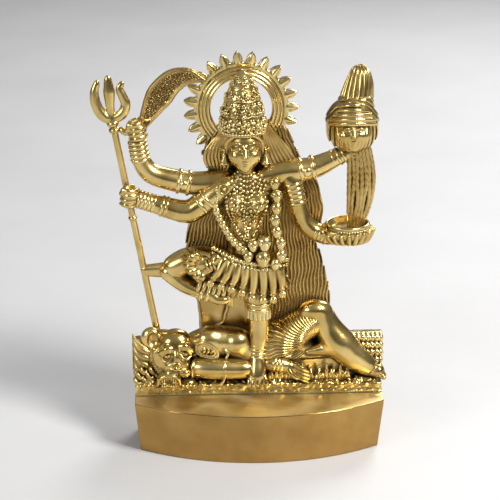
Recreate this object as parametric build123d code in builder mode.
"""Small cast-brass statue: a four-armed dancing goddess over a reclining figure and a lion.

Frame: millimetres, +Z up, +X to the viewer's right, -Y towards the viewer. The origin is the
middle of the plinth's underside, below the middle of the relief's thickness. The figure casting
is a relief with a flat back, and it stands on a hollow plinth that two screws hold from inside.
"Right" and "left" arms and legs are the goddess's own.
"""

import os
from math import cos, radians, sin

from build123d import *

# ---- Driving dimensions, in millimetres -------------------------------------------------
# Plinth
plinth_width = 100.0
plinth_height = 21.0
plinth_end_front = 16.0  # from the relief's middle to the plinth's front corners
plinth_bow = 14.8  # how far the front bows out past its corners
plinth_draft = 2.1  # how far each side leans in from the deck to the foot
plinth_wall = 2.4
plinth_deck = 3.0
pad_thickness = 2.0  # the pad that closes the foot of the hollow plinth
pad_clearance = 0.1
# Relief
back_y = 8.0  # the flat back of the casting and of the plinth
slab_height = 4.0
slab_front = 7.5
mantle_thickness = 5.0
# Goddess: heights that the rest of her hangs on
hip_rise = 49.0  # ground to the middle of the hips
chest_rise = 28.0  # hips to the middle of the chest
neck_rise = 39.0  # hips to the foot of the neck
head_rise = 9.8  # foot of the neck to the middle of the head
head_radius = 7.4
crown_height = 23.5
crown_radius = 9.6
# Halo
halo_rise = 14.2  # middle of the head to the halo's centre
halo_inner_r = 11.9
halo_outer_r = 16.6
halo_tip_r = 22.9
halo_thickness = 4.0
ray_count = 16
ray_pitch = 15.6  # degrees
ray_first = -15.0  # degrees above the +X side
ray_width = 4.6
flange_width = 1.8
# Trident
shaft_r = 1.15
prong_r = 1.25
trident_head_height = 17.0
# Sword, bowl and severed head
sword_thickness = 2.5
bowl_r = 9.0
bowl_depth = 6.4
bowl_wall = 1.3
victim_radius = 10.2
# Screws that hold the casting to the plinth
screw_r = 1.45
screw_hole_clearance = 0.05
screw_head_r = 2.8
screw_head_height = 1.8
screw_bite = 3.0  # how far a screw reaches into the ground slab
screw_spacing = 60.0
screw_y = 1.0
skull_count = 13
anklet_r = 3.9
anklet_height = 1.2
skull_r = 2.1

# ---- Places that follow from them --------------------------------------------------------
deck = plinth_height
ground = deck + slab_height
mantle_front = back_y - mantle_thickness
hip = Vector(-4.0, -0.5, ground + hip_rise)
chest = hip + Vector(-0.5, -1.0, chest_rise)
neck = hip + Vector(-1.0, -1.0, neck_rise)
head_centre = neck + Vector(-0.6, -3.0, head_rise)
halo_centre = Vector(head_centre.X - 0.8, back_y - 1.5, head_centre.Z + halo_rise)
halo_front = halo_centre.Y - halo_thickness

PARTS = {}


def keep(name, builder):
    """Labels a finished piece and remembers it under its node's name."""
    builder.part.label = name
    PARTS[name] = builder.part


def cut_away(*names):
    """Inside a BuildPart block: seats the piece against pieces that are already made."""
    for name in names:
        add(PARTS[name], mode=Mode.SUBTRACT)


def tapered_run(start, end, start_r, end_r):
    """A round tapered bar with ball ends between two points."""
    plane = Plane(origin=start, z_dir=end - start)
    with BuildPart() as run:
        with BuildSketch(plane):
            Circle(start_r)
        with BuildSketch(plane.offset((end - start).length)):
            Circle(end_r)
        loft()
        with Locations(start):
            Sphere(start_r)
        with Locations(end):
            Sphere(end_r)
    return run.part


def limb(points, radii):
    """A chain of tapered runs, such as an arm or a leg."""
    with BuildPart() as chain:
        for i in range(len(points) - 1):
            add(tapered_run(points[i], points[i + 1], radii[i], radii[i + 1]))
    return chain.part


def front_plane(y):
    """A plane that faces the viewer at depth y, whose local x and y are the frame's x and z."""
    return Plane(origin=(0, y, 0), x_dir=(1, 0, 0), z_dir=(0, -1, 0))


def cut_from_sheet(curves, y_front, y_back):
    """A flat piece whose outline is curves end to end, each through its own (x, z) points."""
    with BuildPart() as sheet:
        with BuildSketch(front_plane(y_back)):
            with BuildLine():
                for curve in curves:
                    if len(curve) > 2:
                        Spline(*curve)
                    else:
                        Line(*curve)
            make_face()
        extrude(amount=y_back - y_front)
    return sheet.part


def cut_from_block(points, y_front, y_back):
    """A flat piece with a straight-sided outline through (x, z) points."""
    with BuildPart() as block:
        with BuildSketch(front_plane(y_back)):
            with BuildLine():
                Polyline(*points, close=True)
            make_face()
        extrude(amount=y_back - y_front)
    return block.part


def stacked_ellipses(sections):
    """A loft through level ellipses, each given as its centre, half-width and half-depth."""
    with BuildPart() as stack:
        for centre, half_x, half_y in sections:
            with BuildSketch(Plane.XY.offset(centre.Z)):
                with Locations((centre.X, centre.Y)):
                    Ellipse(half_x, half_y)
        loft()
    return stack.part


# ---- Plinth and ground -------------------------------------------------------------------
def plinth_outline(inset, lean):
    """Plan of the plinth at one level: a flat back, short ends and a bowed front."""
    half = plinth_width / 2 - inset - lean
    front = -plinth_end_front + inset + lean
    rear = back_y - inset
    with BuildSketch() as outline:
        with BuildLine():
            Polyline((-half, front), (-half, rear), (half, rear), (half, front))
            ThreePointArc((half, front), (0, front - plinth_bow), (-half, front))
        make_face()
    return outline.sketch


deck_underside = plinth_height - plinth_deck
lean_at_underside = plinth_draft * plinth_deck / plinth_height
screw_places = [(-screw_spacing / 2, screw_y), (screw_spacing / 2, screw_y)]

with BuildPart() as plinth_shell:
    with BuildSketch(Plane.XY):
        add(plinth_outline(0, plinth_draft))
    with BuildSketch(Plane.XY.offset(deck)):
        add(plinth_outline(0, 0))
    loft(ruled=True)
    with BuildSketch(Plane.XY):
        add(plinth_outline(plinth_wall, plinth_draft))
    with BuildSketch(Plane.XY.offset(deck_underside)):
        add(plinth_outline(plinth_wall, lean_at_underside))
    loft(ruled=True, mode=Mode.SUBTRACT)
    with Locations(*[(x, y, deck_underside) for x, y in screw_places]):
        Cylinder(
            screw_r + screw_hole_clearance,
            plinth_deck,
            align=(Align.CENTER, Align.CENTER, Align.MIN),
            mode=Mode.SUBTRACT,
        )
keep("plinth_shell", plinth_shell)

with BuildPart() as ground_slab:
    with BuildSketch(Plane.XY.offset(deck)):
        with BuildLine():
            half = plinth_width / 2
            Polyline((-half, -slab_front), (-half, back_y), (half, back_y), (half, -slab_front), close=True)
        make_face()
    extrude(amount=slab_height)
    with Locations(*[(x, y, deck) for x, y in screw_places]):
        Cylinder(
            screw_r + screw_hole_clearance,
            screw_bite,
            align=(Align.CENTER, Align.CENTER, Align.MIN),
            mode=Mode.SUBTRACT,
        )
keep("ground_slab", ground_slab)

with BuildPart() as fixing_screws:
    with Locations(*[(x, y, deck_underside) for x, y in screw_places]):
        Cylinder(screw_r, plinth_deck + screw_bite - 0.2, align=(Align.CENTER, Align.CENTER, Align.MIN))
        Cylinder(screw_head_r, screw_head_height, align=(Align.CENTER, Align.CENTER, Align.MAX))
keep("fixing_screws", fixing_screws)

with BuildPart() as base_pad:
    with BuildSketch(Plane.XY):
        add(plinth_outline(plinth_wall + pad_clearance, plinth_draft))
    extrude(amount=pad_thickness)
keep("base_pad", base_pad)

# ---- Hair mantle: the flat sheet of hair that backs the whole figure -------------------------
mantle_right = [
    (head_centre.X + 9.0, head_centre.Z + 8.2),
    (neck.X + 16.6, neck.Z + 15.3),
    (neck.X + 21.0, neck.Z + 4.0),
    (neck.X + 28.0, neck.Z - 5.6),
    (neck.X + 30.4, neck.Z - 16.5),
    (neck.X + 29.8, neck.Z - 24.5),
    (hip.X + 26.6, hip.Z + 8.0),
    (hip.X + 29.9, hip.Z - 2.0),
    (hip.X + 32.5, hip.Z - 15.0),
]
mantle_left = [
    (hip.X - 21.6, hip.Z - 15.0),
    (hip.X - 22.5, hip.Z - 5.0),
    (hip.X - 24.6, hip.Z + 5.2),
    (neck.X - 22.2, neck.Z - 23.3),
    (neck.X - 20.0, neck.Z - 10.0),
    (neck.X - 11.8, neck.Z + 1.7),
    (head_centre.X - 15.6, head_centre.Z - 6.2),
    (head_centre.X - 15.2, head_centre.Z - 1.0),
    (head_centre.X - 12.3, head_centre.Z + 6.2),
]
with BuildPart() as hair_mantle:
    add(cut_from_sheet(
        [
            mantle_right,
            [mantle_right[-1], (mantle_right[-1][0], ground)],
            [(mantle_right[-1][0], ground), (mantle_left[0][0] + 2.0, ground)],
            [(mantle_left[0][0] + 2.0, ground), mantle_left[0]],
            mantle_left,
            [mantle_left[-1], (head_centre.X, head_centre.Z + 8.6), mantle_right[0]],
        ],
        mantle_front,
        back_y,
    ))
keep("hair_mantle", hair_mantle)

# ---- Halo: a moulded ring and its sixteen petals ---------------------------------------------
halo_plane = Plane(origin=halo_centre, x_dir=(1, 0, 0), z_dir=(0, -1, 0))

with BuildPart() as halo_ring:
    with BuildSketch(halo_plane):
        Circle(halo_outer_r)
        Circle(halo_inner_r, mode=Mode.SUBTRACT)
    extrude(amount=halo_thickness)
    chamfer(halo_ring.edges().filter_by(GeomType.CIRCLE).group_by(Axis.Y)[0], 0.8)
    cut_away("hair_mantle")
keep("halo_ring", halo_ring)


def petal():
    """The outline of one pointed petal, rooted on the flange and pointing along +X."""
    root = halo_outer_r + flange_width / 2
    middle = (root + halo_tip_r) / 2
    with BuildSketch() as outline:
        with BuildLine():
            ThreePointArc((root, -ray_width / 3), (middle, -ray_width / 2), (halo_tip_r, 0))
            ThreePointArc((halo_tip_r, 0), (middle, ray_width / 2), (root, ray_width / 3))
            Line((root, ray_width / 3), (root, -ray_width / 3))
        make_face()
    return outline.sketch


with BuildPart() as halo_rays:
    with BuildSketch(halo_plane):
        Circle(halo_outer_r + flange_width)
        Circle(halo_outer_r, mode=Mode.SUBTRACT)
    extrude(amount=halo_thickness - 1.2)
    with BuildSketch(halo_plane):
        with PolarLocations(0, ray_count, ray_first, ray_count * ray_pitch):
            add(petal())
    extrude(amount=halo_thickness - 0.8)
    cut_away("hair_mantle")
keep("halo_rays", halo_rays)

# ---- Reclining figure, lion and bolster -----------------------------------------------------------
relief_front = -3.0  # the flat ground that the rounder pieces of the lower relief stand out from

with BuildPart() as lion_mane:
    add(
        cut_from_block(
            [
                (-plinth_width / 2, ground),
                (-plinth_width / 2 - 1.2, ground + 8.0),
                (-plinth_width / 2 - 0.6, ground + 19.0),
                (-44.6, ground + 21.5),
                (-33.0, ground + 21.5),
                (-28.0, ground + 15.0),
                (-27.0, ground),
            ],
            relief_front,
            back_y,
        )
    )
keep("lion_mane", lion_mane)

paw_width = 5.0
with BuildPart() as lion_paw:
    with BuildSketch(Plane.XY.offset(ground)):
        with Locations((-40.5, relief_front - paw_width / 2)):
            SlotOverall(2 * paw_width, paw_width)
    extrude(amount=4.2)
    chamfer(lion_paw.faces().sort_by(Axis.Z)[-1].edges(), 1.1)
keep("lion_paw", lion_paw)

lion_centre = Vector(-37.6, -1.5, ground + 11.6)
with BuildPart() as lion_head:
    with Locations(lion_centre):
        Sphere(9.0)
    with Locations(lion_centre + Vector(4.5, -1.4, -2.5)):
        Sphere(6.5)
    cut_away("ground_slab", "lion_mane", "lion_paw")
keep("lion_head", lion_head)

with BuildPart() as lion_ear:
    with Locations(lion_centre + Vector(-7.2, -1.5, 8.6)):
        Sphere(3.6)
    cut_away("lion_head", "lion_mane")
keep("lion_ear", lion_ear)

with BuildPart() as reclining_body:
    add(
        cut_from_block(
            [
                (-26.5, ground),
                (-28.5, ground + 14.0),
                (-24.0, ground + 21.5),
                (-12.0, ground + 22.8),
                (-6.0, ground + 19.5),
                (3.6, ground + 17.0),
                (3.6, ground),
            ],
            relief_front,
            mantle_front,
        )
    )
    cut_away("lion_mane", "lion_head")
keep("reclining_body", reclining_body)

with BuildPart() as tiger_skin:
    add(
        cut_from_block(
            [
                (3.6, ground),
                (3.6, ground + 19.0),
                (16.5, ground + 29.0),
                (26.0, ground + 17.0),
                (22.0, ground + 8.0),
                (40.0, ground),
            ],
            relief_front,
            mantle_front,
        )
    )
keep("tiger_skin", tiger_skin)

rib_count = 5
rib_pitch = 2.6
bolster_top = ground + 17.3
bolster_left = 34.8
bolster_right = plinth_width / 2 + 1.2
with BuildPart() as ribbed_bolster:
    with Locations(((bolster_left + bolster_right) / 2, back_y, ground)):
        Box(
            bolster_right - bolster_left,
            back_y - mantle_front,
            bolster_top - ground,
            align=(Align.CENTER, Align.MAX, Align.MIN),
        )
    for i in range(rib_count):
        rib_z = bolster_top - (i + 0.5) * rib_pitch
        with BuildSketch(Plane(origin=(bolster_left, mantle_front, rib_z), z_dir=(1, 0, 0))):
            Circle(rib_pitch * 0.45)
        extrude(amount=bolster_right - bolster_left)
keep("ribbed_bolster", ribbed_bolster)

arm_z = ground + 6.8
with BuildPart() as reclining_arm:
    add(limb([Vector(-24.0, -4.4, arm_z + 0.4), Vector(-8.0, -4.4, arm_z)], [3.1, 2.9]))
    cut_away("reclining_body", "lion_head", "lion_mane", "ground_slab")
keep("reclining_arm", reclining_arm)

with BuildPart() as reclining_hand:
    add(limb([Vector(6.6, -4.2, arm_z), Vector(12.0, -4.2, arm_z), Vector(18.6, -4.0, arm_z - 3.4)],
             [2.5, 2.4, 2.0]))
    cut_away("tiger_skin", "ground_slab")
keep("reclining_hand", reclining_hand)

bent_knee = Vector(24.6, -0.6, ground + 30.0)
heel = Vector(44.5, -2.0, ground + 5.0)
with BuildPart() as reclining_leg:
    add(limb([bent_knee, Vector(28.6, -1.0, ground + 18.0), heel, Vector(49.5, -2.4, ground + 3.2)],
             [4.2, 4.0, 2.9, 2.4]))
    cut_away("ground_slab", "hair_mantle", "tiger_skin", "ribbed_bolster")
keep("reclining_leg", reclining_leg)

# ---- Torso, head and crown -----------------------------------------------------------------
with BuildPart() as torso:
    add(stacked_ellipses(
        [
            (hip + Vector(0, 0, -4), 11.0, 6.0),
            (hip + Vector(0, 0, 2), 11.8, 6.6),
            (hip + Vector(-1.0, -0.5, 11), 8.3, 5.6),
            (chest + Vector(-0.3, 0.2, -8), 9.6, 6.4),
            (chest, 11.8, 7.0),
            (chest + Vector(-0.2, 0.5, 7), 10.6, 5.2),
            (neck + Vector(0, 0, 0.5), 4.4, 3.8),
            (neck + Vector(-0.2, -1.0, 4), 3.6, 3.4),
        ]
    ))
    cut_away("hair_mantle")
keep("torso", torso)

with BuildPart() as head:
    with Locations(head_centre):
        Sphere(head_radius)
    with Locations(head_centre - Vector(0, -0.3, 2.6)):
        Sphere(head_radius * 0.82)
    cut_away("hair_mantle", "halo_ring", "torso")
keep("head", head)

crown_base = head_centre + Vector(-0.7, 2.4, 7.0)
with BuildPart() as crown:
    with BuildSketch(Plane(origin=crown_base, x_dir=(1, 0, 0), z_dir=(0, -1, 0))):
        with BuildLine():
            Line((0, 0), (crown_radius * 0.94, 0))
            Spline(
                (crown_radius * 0.94, 0),
                (crown_radius, crown_height * 0.22),
                (crown_radius * 0.74, crown_height * 0.6),
                (crown_radius * 0.27, crown_height * 0.93),
                (0, crown_height),
            )
            Line((0, crown_height), (0, 0))
        make_face()
    revolve(axis=Axis(crown_base, (0, 0, 1)))
    cut_away("hair_mantle", "halo_ring", "head")
keep("crown", crown)

with BuildPart() as earrings:
    for side in (-1, 1):
        with Locations(head_centre + Vector(side * (head_radius + 0.6), -0.5, -5.0)):
            Sphere(1.9)
    cut_away("head", "hair_mantle", "torso")
keep("earrings", earrings)

# ---- Skirt of severed arms, and the legs ------------------------------------------------------
with BuildPart() as skirt_cloth:
    add(stacked_ellipses(
        [
            (hip + Vector(0.5, -0.5, 5.0), 11.5, 7.0),
            (hip + Vector(0.5, -0.5, -3.0), 14.0, 7.6),
            (hip + Vector(1.5, -0.5, -11.0), 15.0, 8.0),
        ]
    ))
    cut_away("torso", "hair_mantle")
keep("skirt_cloth", skirt_cloth)

knee = hip + Vector(4.2, -4.5, -19.5)
ankle = Vector(-0.5, -4.5, ground + 12.0)
toes = Vector(-1.2, -5.0, ground + 1.6)
with BuildPart() as standing_leg:
    add(limb(
        [hip + Vector(3.0, -3.0, -9.0), knee, ankle + Vector(0.2, 0, 10.5), ankle, toes],
        [5.0, 4.5, 4.1, 3.0, 2.6],
    ))
    cut_away("ground_slab", "reclining_body", "skirt_cloth", "hair_mantle")
keep("standing_leg", standing_leg)

raised_knee = hip + Vector(-32.3, -0.8, -1.6)
raised_ankle = hip + Vector(-17.5, -4.2, -9.6)
with BuildPart() as raised_leg:
    add(limb([hip + Vector(-12, -1.5, 1.0), raised_knee, raised_ankle], [6.0, 3.9, 2.5]))
    cut_away("torso", "skirt_cloth", "hair_mantle")
keep("raised_leg", raised_leg)

arm_roots = [
    (hip + Vector(-11.0 + 2.9 * i, -7.6 - 0.9 * sin(radians(20 + 20 * i)), 4.0 - 1.1 * i))
    for i in range(8)
]
with BuildPart() as skirt_arms:
    for i, root in enumerate(arm_roots):
        tip = root + Vector(-6.0 + 1.25 * i, 0.2, -11.0 - 0.7 * i)
        add(tapered_run(root, tip, 1.5, 1.15))
    cut_away("skirt_cloth", "standing_leg", "raised_leg")
keep("skirt_arms", skirt_arms)

with BuildPart() as anklets:
    for lift in (0.4, 2.0, 3.6):
        with Locations(ankle + Vector(0, 0, lift)):
            Cylinder(anklet_r, anklet_height)
    cut_away("standing_leg", "reclining_body")
keep("anklets", anklets)

# ---- Arms ----------------------------------------------------------------------------------
right_upper_fist = neck + Vector(-42.4, 1.5, 17.8)
right_lower_fist = neck + Vector(-46.0, 1.6, -9.7)
lion_crown = Vector(-40.3, 1.0, ground + 20.0)  # where the trident's foot stands
trident_line = (right_lower_fist - lion_crown).normalized()
shaft_length = (right_lower_fist - lion_crown).length + 31.0
trident_neck = lion_crown + trident_line * shaft_length

with BuildPart() as trident:
    with BuildSketch(Plane(origin=lion_crown - trident_line * 2.5, z_dir=trident_line)):
        Circle(shaft_r)
    extrude(amount=shaft_length + 2.5)
    add(limb(
        [trident_neck + Vector(x, 0, z) for x, z in ((-4.6, 14.6), (-6.6, 9.0), (-4.4, 2.0), (0, 0.2))],
        [prong_r] * 4,
    ))
    add(limb(
        [trident_neck + Vector(x, 0, z) for x, z in ((0, 0.2), (4.4, 2.2), (4.6, 8.0), (4.0, 14.2))],
        [prong_r] * 4,
    ))
    add(limb([trident_neck, trident_neck + Vector(-1.0, 0, trident_head_height)], [prong_r, prong_r * 0.9]))
    cut_away("lion_mane")
keep("trident", trident)

with BuildPart() as right_upper_arm:
    add(limb(
        [
            neck + Vector(-11.9, 1.5, -4.3),
            neck + Vector(-21.8, 1.8, -5.0),
            neck + Vector(-37.0, 2.0, -1.8),
            neck + Vector(-41.0, 2.0, 5.0),
            right_upper_fist + Vector(0.7, 0.4, -6.0),
            right_upper_fist,
        ],
        [4.6, 4.3, 3.9, 3.5, 3.2, 3.9],
    ))
    # a short web of metal ties this fist to the trident's shaft
    web = lion_crown + trident_line * ((right_upper_fist.Z - lion_crown.Z) / trident_line.Z)
    add(tapered_run(right_upper_fist, web, 1.6, 1.2))
    cut_away("trident", "torso", "hair_mantle", "halo_rays")
keep("right_upper_arm", right_upper_arm)

with BuildPart() as right_lower_arm:
    add(limb(
        [
            neck + Vector(-9.5, -2.0, -6.0),
            neck + Vector(-23.5, -1.5, -17.0),
            right_lower_fist + Vector(6.5, -0.6, -2.0),
            right_lower_fist,
        ],
        [4.2, 4.1, 3.8, 4.5],
    ))
    cut_away("trident", "torso", "hair_mantle", "right_upper_arm")
keep("right_lower_arm", right_lower_arm)

with BuildPart() as left_upper_arm:
    add(limb(
        [
            neck + Vector(11.0, 0.5, -1.2),
            neck + Vector(27.4, 0.5, 0.3),
            neck + Vector(37.2, 1.0, 5.5),
            neck + Vector(41.5, 1.0, 7.0),
        ],
        [4.3, 4.0, 3.1, 3.0],
    ))
    cut_away("torso", "hair_mantle")
keep("left_upper_arm", left_upper_arm)

bowl_rim = neck + Vector(40.4, -0.5, -21.4)
bowl_sphere_r = (bowl_r**2 + bowl_depth**2) / (2 * bowl_depth)
with BuildPart() as skull_bowl:
    with Locations(bowl_rim + Vector(0, 0, bowl_sphere_r - bowl_depth)):
        Sphere(bowl_sphere_r)
        Sphere(bowl_sphere_r - bowl_wall, mode=Mode.SUBTRACT)
    split(bisect_by=Plane(origin=bowl_rim, z_dir=(0, 0, 1)), keep=Keep.BOTTOM)
keep("skull_bowl", skull_bowl)

with BuildPart() as left_lower_arm:
    add(limb(
        [
            neck + Vector(18.5, -0.5, -4.6),
            neck + Vector(19.8, -1.0, -12.5),
            neck + Vector(22.6, -1.0, -20.0),
            neck + Vector(29.0, -1.0, -27.0),
            bowl_rim + Vector(0, 0, -bowl_depth - 2.0),
        ],
        [3.4, 3.1, 3.2, 3.0, 2.4],
    ))
    cut_away("skull_bowl", "left_upper_arm", "torso", "hair_mantle")
keep("left_lower_arm", left_lower_arm)

# ---- What the hands hold -----------------------------------------------------------------------
blade_root = right_upper_fist + Vector(2.6, 0, 2.8)
sword_back = [
    blade_root + Vector(*offset)
    for offset in ((-1.0, 0, 1.7), (1.1, 0, 8.7), (4.0, 0, 15.0), (11.0, 0, 20.9), (18.6, 0, 20.8))
]
sword_edge = [
    blade_root + Vector(*offset)
    for offset in ((25.2, 0, 17.6), (17.2, 0, 14.9), (12.4, 0, 9.4), (6.8, 0, -0.2), (1.8, 0, -2.3))
]
sword_front = halo_front + 0.8 - sword_thickness
with BuildPart() as sword:
    add(cut_from_sheet(
        [
            [(p.X, p.Z) for p in sword_back],
            [(p.X, p.Z) for p in (sword_back[-1], sword_edge[0])],
            [(p.X, p.Z) for p in sword_edge],
            [(p.X, p.Z) for p in (sword_edge[-1], sword_back[0])],
        ],
        sword_front,
        sword_front + sword_thickness,
    ))
    cut_away("right_upper_arm", "halo_rays", "halo_ring")
keep("sword", sword)

victim_centre = neck + Vector(41.7, 0.5, 17.6)
with BuildPart() as severed_head:
    with Locations(victim_centre):
        Sphere(victim_radius)
    add(tapered_run(
        victim_centre + Vector(1.2, 0, 8.0),
        victim_centre + Vector(2.0, 0, 20.4),
        6.0,
        3.3,
    ))
    add(tapered_run(
        victim_centre,
        victim_centre + Vector(-0.6, -0.8, -7.0),
        victim_radius * 0.8,
        5.4,
    ))
    cut_away("left_upper_arm")
keep("severed_head", severed_head)

with BuildPart() as severed_hair:
    add(cut_from_sheet(
        [
            [(victim_centre.X - 1.4, victim_centre.Z - 11.0), (bowl_rim.X - 0.4, bowl_rim.Z - 4.0)],
            [(bowl_rim.X - 0.4, bowl_rim.Z - 4.0), (bowl_rim.X + 4.6, bowl_rim.Z - 3.0)],
            [
                (bowl_rim.X + 4.6, bowl_rim.Z - 3.0),
                (bowl_rim.X + 8.6, bowl_rim.Z + 10.0),
                (victim_centre.X + 8.8, victim_centre.Z - 22.0),
                (victim_centre.X + 6.5, victim_centre.Z - 9.0),
            ],
            [(victim_centre.X + 6.5, victim_centre.Z - 9.0), (victim_centre.X - 1.4, victim_centre.Z - 11.0)],
        ],
        -2.5,
        2.5,
    ))
    cut_away("severed_head", "left_upper_arm", "skull_bowl")
keep("severed_hair", severed_hair)

with BuildPart() as knee_tie:
    tie_at = lion_crown + trident_line * ((raised_knee.Z - lion_crown.Z) / trident_line.Z)
    with Locations((tie_at + raised_knee) / 2):
        Box(raised_knee.X - tie_at.X, 3.0, 6.5)
    cut_away("trident", "raised_leg")
keep("knee_tie", knee_tie)

# ---- Ornaments on the body -----------------------------------------------------------------------
with BuildPart() as necklaces:
    with BuildSketch(front_plane(chest.Y)):
        with BuildLine():
            Spline(
                (neck.X - 5.0, neck.Z + 2.0),
                (chest.X - 7.0, chest.Z - 1.0),
                (chest.X - 0.6, chest.Z - 17.0),
                (chest.X + 6.6, chest.Z - 1.0),
                (neck.X + 5.4, neck.Z + 2.0),
            )
            Line((neck.X + 5.4, neck.Z + 2.0), (neck.X - 5.0, neck.Z + 2.0))
        make_face()
    extrude(amount=7.6)
    cut_away("torso", "head", "right_lower_arm", "right_upper_arm", "left_upper_arm")
keep("necklaces", necklaces)

garland_points = [
    chest + Vector(*offset)
    for offset in (
        (-11.3, -4.2, 0.6),
        (-8.8, -5.6, -9.0),
        (-5.6, -7.2, -17.2),
        (1.4, -7.8, -22.0),
        (8.0, -6.9, -20.0),
        (11.2, -4.4, -11.0),
        (10.9, -4.2, 3.0),
    )
]
with BuildLine() as garland_line:
    Spline(*garland_points)
with BuildPart() as skull_garland:
    with Locations(*[garland_line.line @ (i / (skull_count - 1)) for i in range(skull_count)]):
        Sphere(skull_r)
    cut_away("torso", "skirt_cloth", "necklaces", "right_lower_arm")
keep("skull_garland", skull_garland)


def bangle(at, along, ring_r, wire_r=0.6):
    """One ring round a limb."""
    with BuildPart() as ring:
        with Locations(Plane(origin=at, z_dir=along)):
            Torus(ring_r, wire_r)
    return ring.part


ring_places = [
    ("right_upper_arm", neck + Vector(-21.5, 1.8, -5.0), Vector(-1, 0, 0.1), 4.4),
    ("right_upper_arm", neck + Vector(-24.1, 1.8, -4.5), Vector(-1, 0, 0.1), 4.3),
    ("right_upper_arm", right_upper_fist + Vector(0.7, 0.4, -6.0), Vector(0, 0, 1), 3.4),
    ("right_upper_arm", right_upper_fist + Vector(0.6, 0.4, -8.6), Vector(0, 0, 1), 3.4),
    ("right_lower_arm", right_lower_fist + Vector(7.5, -0.6, -2.3), Vector(1, 0, -0.35), 3.9),
    ("right_lower_arm", right_lower_fist + Vector(10.1, -0.6, -3.1), Vector(1, 0, -0.35), 3.9),
    ("left_upper_arm", neck + Vector(24.0, 0.5, 0.1), Vector(1, 0, 0.1), 4.1),
    ("left_upper_arm", neck + Vector(20.4, 0.5, -0.1), Vector(1, 0, 0.1), 4.2),
]
seated_rings = []
for limb_name, at, along, ring_r in ring_places:
    with BuildPart() as seated_ring:
        add(bangle(at, along, ring_r))
        cut_away(limb_name, "left_lower_arm", "hair_mantle")
    seated_rings.append(seated_ring.part)
with BuildPart() as armlets:
    for ring in seated_rings:
        add(ring)
keep("armlets", armlets)

# ---- Write one STEP file per node -----------------------------------------------------------------
os.makedirs("parts", exist_ok=True)
for name, part in PARTS.items():
    export_step(part, f"parts/{name}.step")
